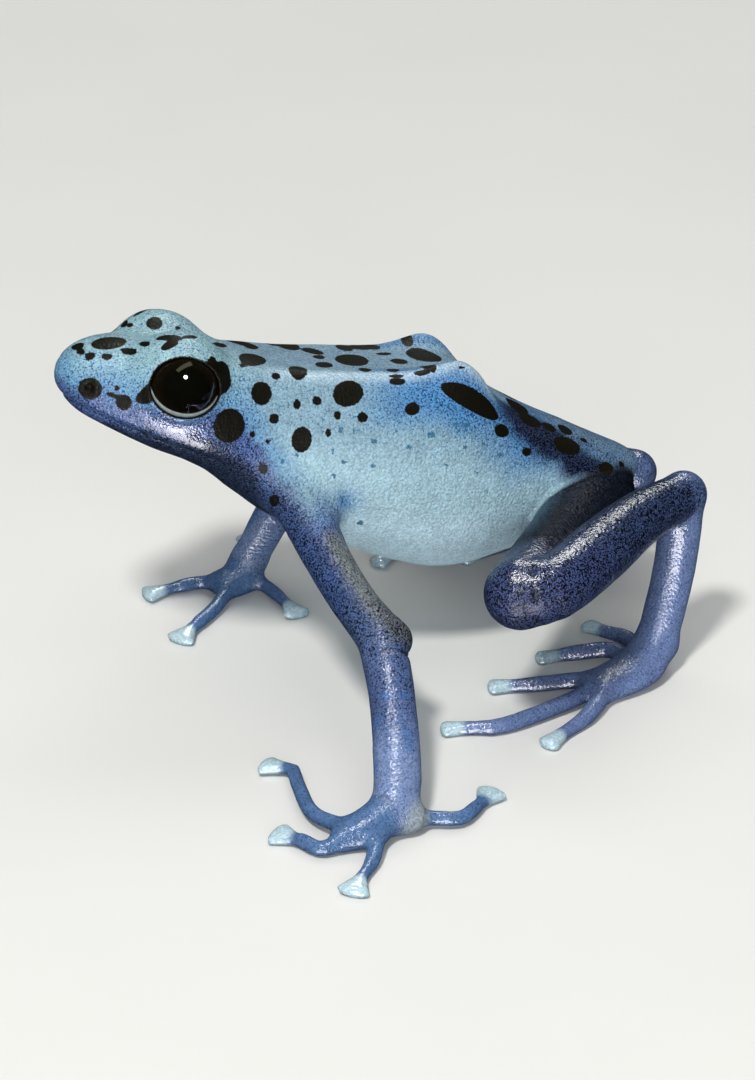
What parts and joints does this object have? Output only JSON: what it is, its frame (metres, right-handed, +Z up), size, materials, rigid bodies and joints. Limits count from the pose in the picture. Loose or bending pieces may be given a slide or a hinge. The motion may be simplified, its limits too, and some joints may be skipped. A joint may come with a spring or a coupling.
{
  "type": "blue poison dart frog model",
  "caption": "Still life-size model of a blue poison dart frog standing with its head raised, sky-blue trunk with dark spots and deep blue limbs.",
  "frame": {"origin": "on the floor, below the middle of the model's bounding box", "axes": "-X is the way the snout points, -Y is the frog's left, +Z is up"},
  "size_m": [0.0456, 0.052, 0.0271],
  "materials": {
    "body_skin": "moist pebbled skin, sky blue with near-black spots",
    "head_skin": "moist pebbled skin, sky blue above and indigo along the lip, with near-black spots",
    "limb_skin": "moist skin, deep violet blue to near black",
    "digit_skin": "moist smooth skin, violet blue with pale toe and finger pads",
    "eye": "near-black and mirror glossy"
  },
  "bodies": {
    "root": {"torso": "body_skin", "head": "head_skin", "lower_jaw": "head_skin", "eye_left": "eye", "upper_arm_left": "limb_skin", "forearm_left": "limb_skin", "hand_left": "limb_skin", "thigh_left": "limb_skin", "shank_left": "limb_skin", "tarsus_left": "limb_skin", "foot_left": "limb_skin", "finger_1_left": "digit_skin", "finger_2_left": "digit_skin", "finger_3_left": "digit_skin", "finger_4_left": "digit_skin", "toe_1_left": "digit_skin", "toe_2_left": "digit_skin", "toe_3_left": "digit_skin", "toe_4_left": "digit_skin", "toe_5_left": "digit_skin", "eye_right": "eye", "upper_arm_right": "limb_skin", "forearm_right": "limb_skin", "hand_right": "limb_skin", "thigh_right": "limb_skin", "shank_right": "limb_skin", "tarsus_right": "limb_skin", "foot_right": "limb_skin", "finger_1_right": "digit_skin", "finger_2_right": "digit_skin", "finger_3_right": "digit_skin", "finger_4_right": "digit_skin", "toe_1_right": "digit_skin", "toe_2_right": "digit_skin", "toe_3_right": "digit_skin", "toe_4_right": "digit_skin", "toe_5_right": "digit_skin"}
  },
  "joints": []
}
